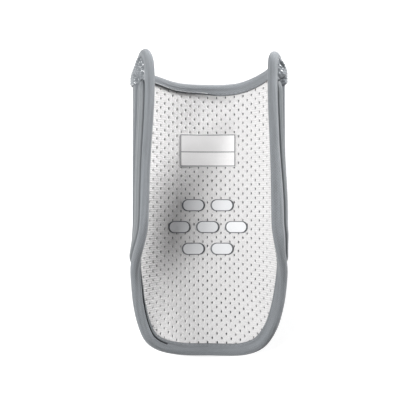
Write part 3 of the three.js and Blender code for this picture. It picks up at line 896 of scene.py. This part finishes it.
def build_stitches():
    SIDES = 6
    row = in_from_edge(flap_distance(STITCH["in"]) - STITCH["shorter"] * OPEN_EDGE)
    row = np.vstack([row, row[:1]])
    lifts = tape_lift(STITCH["in"])
    lifts = np.append(lifts, lifts[0])
    walk = lengths_along(row)
    total = round(walk[-1] / (STITCH["length"] + STITCH["gap"]))
    pitch = walk[-1] / total
    top = EDGE_FACE / 2 - TAPE_FOLD
    turns = np.arange(SIDES) * 2 * math.pi / SIDES
    round_top = np.sin(turns) * 0.5 + 0.5

    def spot(length):
        return [np.interp(length, walk, row[:, k]) for k in (0, 1)]

    points = []
    faces = []
    for number in range(total):
        start = len(points) * SIDES
        for shift, size in STITCH_RINGS:
            length = (number + 0.5) * pitch + shift * STITCH["length"]
            across, along = spot(length)
            ahead = np.subtract(spot(length + LOOK_AHEAD), spot(length - LOOK_AHEAD))
            ahead /= math.hypot(*ahead)
            aside = np.cos(turns) * STITCH["width"] / 2 * size
            lift = np.interp(length, walk, lifts) + STITCH["over"]
            level = top - lift - round_top * STITCH["rise"] * 2 * size
            points.append(place(across - ahead[1] * aside, along + ahead[0] * aside, level))
        last = start + (len(STITCH_RINGS) - 1) * SIDES
        for here in range(start, last, SIDES):
            for i in range(SIDES):
                after = (i + 1) % SIDES
                faces.append((here + i, here + after, here + SIDES + after, here + SIDES + i))
        faces.append(tuple(start + i for i in range(SIDES))[::-1])
        faces.append(tuple(last + i for i in range(SIDES)))
    make_piece("stitches", np.concatenate(points), faces, ["thread"])


# Side ribs
RIB = {
    "across_steps": 48, "along_steps": 120, "end_steps": 12, "base_steps": 6, "tables": 29,
    "grooves": 3, "groove_depth": 0.00055, "groove_from": 0.8, "side_power": 0.75,
    "top_power": 0.42, "least_end": 0.03,
}


def beside_wall(side, along, distance):
    """The across places beside a wall's edge at lengths along the guard, one distance in from the outline"""
    curve = in_from_edge(distance)[wall_numbers(side)]
    return np.interp(along, curve[:, 1], curve[:, 0])


def rib_section():
    """Shares of the width and the height round a rib: over its swollen top and back along its flat base"""
    section = []
    for step in range(RIB["across_steps"] + 1):
        turn = math.pi * step / RIB["across_steps"]
        over = 0.5 - 0.5 * math.copysign(abs(math.cos(turn)) ** RIB["side_power"], math.cos(turn))
        section.append((over, math.sin(turn) ** RIB["top_power"]))
    return section + [(1 - k / RIB["base_steps"], 0.0) for k in range(1, RIB["base_steps"])]


def rib_lengths():
    """Places along a rib, and its size at each: both ends are round"""
    turns = np.linspace(RIB["least_end"], 1, RIB["end_steps"]) * math.pi / 2
    ends = RIB_ROUNDING * (1 - np.cos(turns))
    start, end = RIB_RUN
    between = np.linspace(start + RIB_ROUNDING, end - RIB_ROUNDING, RIB["along_steps"])[1:-1]
    alongs = np.concatenate([start + ends, between, (end - ends)[::-1]]) * HALF_LENGTH
    return alongs, np.concatenate([np.sin(turns), np.ones(len(between)), np.sin(turns)[::-1]])


def build_rib(side, name):
    alongs, sizes = rib_lengths()
    starts = back_lap(side, alongs) + SEAM["gap"]
    distances = np.linspace(starts.min(), RIB_END, RIB["tables"])
    tables = np.array([beside_wall(side, alongs, distance) for distance in distances])
    rings = []
    for over, rise in rib_section():
        from_edge = starts + (RIB_END - starts) * (0.5 + (over - 0.5) * sizes)
        across = np.array([np.interp(from_edge[k], distances, tables[:, k]) for k in range(len(sizes))])
        groove = RIB["groove_depth"] * (0.5 - 0.5 * math.cos(2 * math.pi * over * RIB["grooves"]))
        groove *= rise > RIB["groove_from"]
        height = EDGE_FACE + CLEARANCE + (RIB_HEIGHT * rise - groove) * sizes
        rings.append(place(across, alongs, height))
    total = len(rings)
    count = len(alongs)
    faces = []
    for r in range(total):
        here = r * count
        there = (r + 1) % total * count
        faces += [(here + k, there + k, there + k + 1, here + k + 1) for k in range(count - 1)]
    faces.append(tuple(r * count for r in reversed(range(total))))
    faces.append(tuple(r * count + count - 1 for r in range(total)))
    girths = np.linspace(0, RIB_WIDTH * 2, total)
    flats = np.stack(np.broadcast_arrays(alongs[None, :], girths[:, None]), axis=-1).reshape(-1, 2)
    make_piece(
        name, np.concatenate(rings), faces if side < 0 else [face[::-1] for face in faces], ["rib"],
        replaces=[name.replace("visual_", "")], flats=flats,
    )


# Corner panels: slabs of raised diamonds over the top corners, each cut out round the end of its rib
KNURL = {"pitch": 0.004, "depth": 0.0009, "base": 0.0005, "edge": 0.08}
PANEL = {
    "long_steps": 110, "wide_steps": 66, "arch_points": 13, "arch_share": 0.45,
    "wall_margin": 0.0005, "slope_run": 0.0055, "bulge_start": 0.0012, "bulge_run": 0.0045,
    "top_ramp": 0.012,
}


def resampled(points, count):
    """Places at equal lengths along a line"""
    points = np.array(points)
    walk = lengths_along(points)
    lengths = np.linspace(0, walk[-1], count)
    return np.stack([np.interp(lengths, walk, points[:, k]) for k in (0, 1)], axis=1)


def panel_places(side):
    """A panel's grid of flat places, from the top edge down to the arch round the rib's end"""
    start = RIB_START - VALLEY / 2
    curve = in_from_edge(start)
    top = []
    number = HORN if side > 0 else OTHER_HORN
    while side * curve[number][0] > HALF_GIRTH - start - PANEL_WIDTH:
        top.append(curve[number])
        number += side
    arch = []
    for turn in np.linspace(-1, 1, PANEL["arch_points"]) * math.pi / 2:
        distance = RIB_START + RIB_WIDTH / 2 + (RIB_WIDTH / 2 + CLEARANCE) * math.sin(turn)
        drop = RIB_ROUNDING * HALF_LENGTH * PANEL["arch_share"] * (1 - math.cos(turn))
        along = RIB_TOP + 2 * CLEARANCE - drop
        arch.append(np.array([float(beside_wall(side, along, distance)), along]))
    lowest = max(RIB_TOP + CLEARANCE, arch[0][1] + PANEL["wall_margin"])
    wall = [arch[0]] + [curve[n] for n in wall_numbers(side) if curve[n][1] > lowest]
    low = np.array([top[-1][0], top[-1][1] - PANEL_LENGTH])
    columns = PANEL["long_steps"] + 1
    rows = PANEL["wide_steps"] + 1
    return patch_between(
        resampled(top, columns), resampled(arch + [low], columns), resampled(wall[::-1], rows),
        resampled([top[-1], low], rows),
    )


def build_panel(side, name):
    flat = panel_places(side)
    x, y = flat[..., 0], flat[..., 1]
    rows, columns = x.shape
    wave = math.pi / KNURL["pitch"]
    knurl = np.abs(np.cos((x + y) * wave)) * np.abs(np.cos((x - y) * wave))
    u = np.linspace(0, 1, columns)[None, :]
    v = np.linspace(0, 1, rows)[:, None]
    edge = np.clip(np.minimum(np.minimum(u, 1 - u), np.minimum(v, 1 - v)) / KNURL["edge"], 0, 1)
    low_part = cover_height(flat.reshape(-1, 2)).reshape(x.shape)
    depth = distance_inside(flat.reshape(-1, 2)).reshape(x.shape)
    full_part = shoulder((depth - RIB_START) / PANEL["slope_run"])
    bulge = smooth((y - RIB_TOP - PANEL["bulge_start"]) / PANEL["bulge_run"])
    bulge *= np.sin(np.clip((y[0].max() - y) / PANEL["top_ramp"], 0, 1) * math.pi / 2)
    near = low_part + (full_part - low_part) * bulge + PANEL_SEAT
    height = near + KNURL["base"] * np.sqrt(1 - (1 - edge) ** 2) + KNURL["depth"] * knurl * edge
    points = np.concatenate([place(x, y, level).reshape(-1, 3) for level in (height, near)])
    make_piece(
        name, points, slab_faces(rows, columns, mirrored=side > 0), ["panel"],
        replaces=[name.replace("visual_", "")],
    )


# Label
LABEL_LINE = {"width": 0.0007, "margin": 0.0004, "divider": -0.0012}
LABEL_SPACING = 0.0012
LABEL_FILM = 0.0003
FIELD, LINE, STRIP = range(3)


def label_marks(half, lines):
    """Places from one end of the label to the other, close together and with one at each side of a line"""
    found = {-half, half}
    for line in lines:
        found |= {line - LABEL_LINE["width"] / 2, line + LABEL_LINE["width"] / 2}
    found = sorted(found)
    dense = []
    for start, end in zip(found, found[1:]):
        steps = max(1, math.ceil((end - start) / LABEL_SPACING))
        dense += [start + (end - start) * k / steps for k in range(steps)]
    return np.array(dense + [found[-1]])


def build_label():
    """A bare label of two fields with thin printed lines"""
    half_line = LABEL_LINE["width"] / 2
    divider = LABEL_LINE["divider"]
    border_x = LABEL["width"] / 2 - LABEL_LINE["margin"] - half_line
    border_y = LABEL["height"] / 2 - LABEL_LINE["margin"] - half_line
    xs = label_marks(LABEL["width"] / 2, [-border_x, border_x])
    ys = label_marks(LABEL["height"] / 2, [-border_y, border_y, divider])
    x, y = np.meshgrid(xs, ys)
    rows, columns = x.shape

    def kind(a, b):
        """The material at a place of the label's face"""
        framed = abs(a) <= border_x + half_line and abs(b) <= border_y + half_line
        if framed and min(abs(abs(a) - border_x), abs(abs(b) - border_y), abs(b - divider)) <= half_line:
            return LINE
        return STRIP if b < divider else FIELD

    faces = slab_faces(rows, columns)
    kinds = []
    for j in range(rows - 1):
        for i in range(columns - 1):
            kinds += [kind((xs[i] + xs[i + 1]) / 2, (ys[j] + ys[j + 1]) / 2), FIELD]
    kinds += [FIELD] * (len(faces) - len(kinds))
    levels = (-PATCH_GAP - LABEL_FILM, -PATCH_GAP)
    points = np.concatenate([place(x, y + LABEL["along"], level).reshape(-1, 3) for level in levels])
    flats = np.tile(np.stack([x, y], axis=-1).reshape(-1, 2), (2, 1))
    make_piece(
        "label", points, faces, ["field", "line", "strip"], kinds, replaces=["name_label"],
        flats=flats,
    )


# Grip pads: crowned pills with a dark rim
PAD_ROUND_STEPS = 14
PAD_RIM = 0.0006
PAD_FALL = 0.35
PAD_EDGE_SHARE = 0.2
PAD_RIM_RINGS = (3, 4, 5)


def pill_outline(width, height):
    """Flat places round a pill about 0"""
    radius = height / 2
    outline = []
    for end in (1, -1):
        for step in range(PAD_ROUND_STEPS + 1):
            turn = (step / PAD_ROUND_STEPS - 0.5) * math.pi + (0 if end > 0 else math.pi)
            outline.append((end * (width / 2 - radius) + radius * math.cos(turn), radius * math.sin(turn)))
    return np.array(outline)


def build_grip_pad(number, across, along):
    outline = pill_outline(GRIP_PAD["width"], GRIP_PAD["height"])
    count = len(outline)
    thickness = GRIP_PAD["thickness"]
    rim_start = 1 - PAD_RIM / (GRIP_PAD["height"] / 2)
    rings = []
    for share, bend in ((0.25, 0.25), (0.5, 0.5), (0.75, 0.75), (rim_start, 0.9), (1.0, 1.0)):
        rings.append((outline * share, -PATCH_GAP - thickness * (1 - PAD_FALL * bend**4)))
    rings.append((outline, -PATCH_GAP - thickness * PAD_EDGE_SHARE))
    rings += [(outline * share, -PATCH_GAP) for share in (0.97, 0.7, 0.45, 0.2)]
    points = [place(flat[:, 0] + across, flat[:, 1] + along, level) for flat, level in rings]
    points += [place([across], [along], [level]) for level in (-PATCH_GAP - thickness, -PATCH_GAP)]
    faces = strip_faces(len(rings), count)
    kinds = [int(r in PAD_RIM_RINGS) for r in range(len(rings) - 1) for _ in range(count)]
    middle = len(rings) * count
    last = middle - count
    for i in range(count):
        after = (i + 1) % count
        faces += [(middle, i, after), (middle + 1, last + after, last + i)]
        kinds += [0, 0]
    flats = np.concatenate([flat for flat, _ in rings] + [np.zeros((2, 2))]) + (across, along)
    make_piece(
        f"pad_{number}", np.concatenate(points), faces, ["pad", "rim"], kinds,
        replaces=[f"grip_pad_{number}"], flats=flats,
    )


build_cover()
build_liner()
build_binding()
build_stitches()
for side, word in ((-1, "left"), (1, "right")):
    build_rib(side, f"visual_rib_{word}")
    build_panel(side, f"visual_corner_panel_{word}")
build_label()
for number, (across, along) in enumerate(grip_places(), start=1):
    build_grip_pad(number, across, along)


# Floor, light and camera
CAMERA_DISTANCE = 1.1
CAMERA_YAW = math.radians(1.7)
CAMERA_SENSOR = 36
VIEW_WIDTH = 0.3295
VIEW_MIDDLE = (-0.0002, -0.0019, 0.025)
FLOOR = {"size": 6, "level": -0.0003, "colour": (0.6, 0.6, 0.6, 1.0), "roughness": 0.9, "glow": 0.6}
WORLD_LIGHT = 0.25
WHITE = (1, 1, 1, 1)
LIGHTS = {
    "key": {"spot": (-0.72, 0.08, 0.9), "target": (0, 0, 0), "power": 14, "size": 0.45},
    "rake": {"spot": (0.71, 0.91, 0.36), "target": (0, 0, 0.03), "power": 22, "size": 0.3},
}


def add_floor():
    bpy.ops.mesh.primitive_plane_add(size=FLOOR["size"], location=(0, 0, FLOOR["level"]))
    floor = bpy.context.object
    floor.name = "floor"
    material = new_material("floor", FLOOR["colour"], FLOOR["roughness"])
    shader = material.node_tree.nodes["Principled BSDF"]
    shader.inputs["Emission Color"].default_value = WHITE
    shader.inputs["Emission Strength"].default_value = FLOOR["glow"]
    floor.data.materials.append(material)


def add_light(name, spot, target, power, size):
    light = bpy.data.lights.new(name, "AREA")
    light.energy = power
    light.size = size
    holder = add_object(name, light)
    holder.location = spot
    direction = Vector(target) - Vector(spot)
    holder.rotation_euler = direction.to_track_quat("-Z", "Y").to_euler()


def add_world():
    world = bpy.data.worlds.new("studio")
    world.use_nodes = True
    background = world.node_tree.nodes["Background"]
    background.inputs["Color"].default_value = WHITE
    background.inputs["Strength"].default_value = WORLD_LIGHT
    bpy.context.scene.world = world


def add_camera():
    camera = bpy.data.cameras.new("camera")
    camera.sensor_width = CAMERA_SENSOR
    camera.lens = CAMERA_SENSOR * CAMERA_DISTANCE / VIEW_WIDTH
    holder = add_object("camera", camera)
    direction = Vector((-math.sin(CAMERA_YAW), 0, math.cos(CAMERA_YAW)))
    holder.location = Vector(VIEW_MIDDLE) + direction * CAMERA_DISTANCE
    holder.rotation_euler = (0, -CAMERA_YAW, 0)
    bpy.context.scene.camera = holder


add_floor()
add_world()
for name, light in LIGHTS.items():
    add_light(name, **light)
add_camera()
bpy.context.scene.view_settings.view_transform = "Standard"
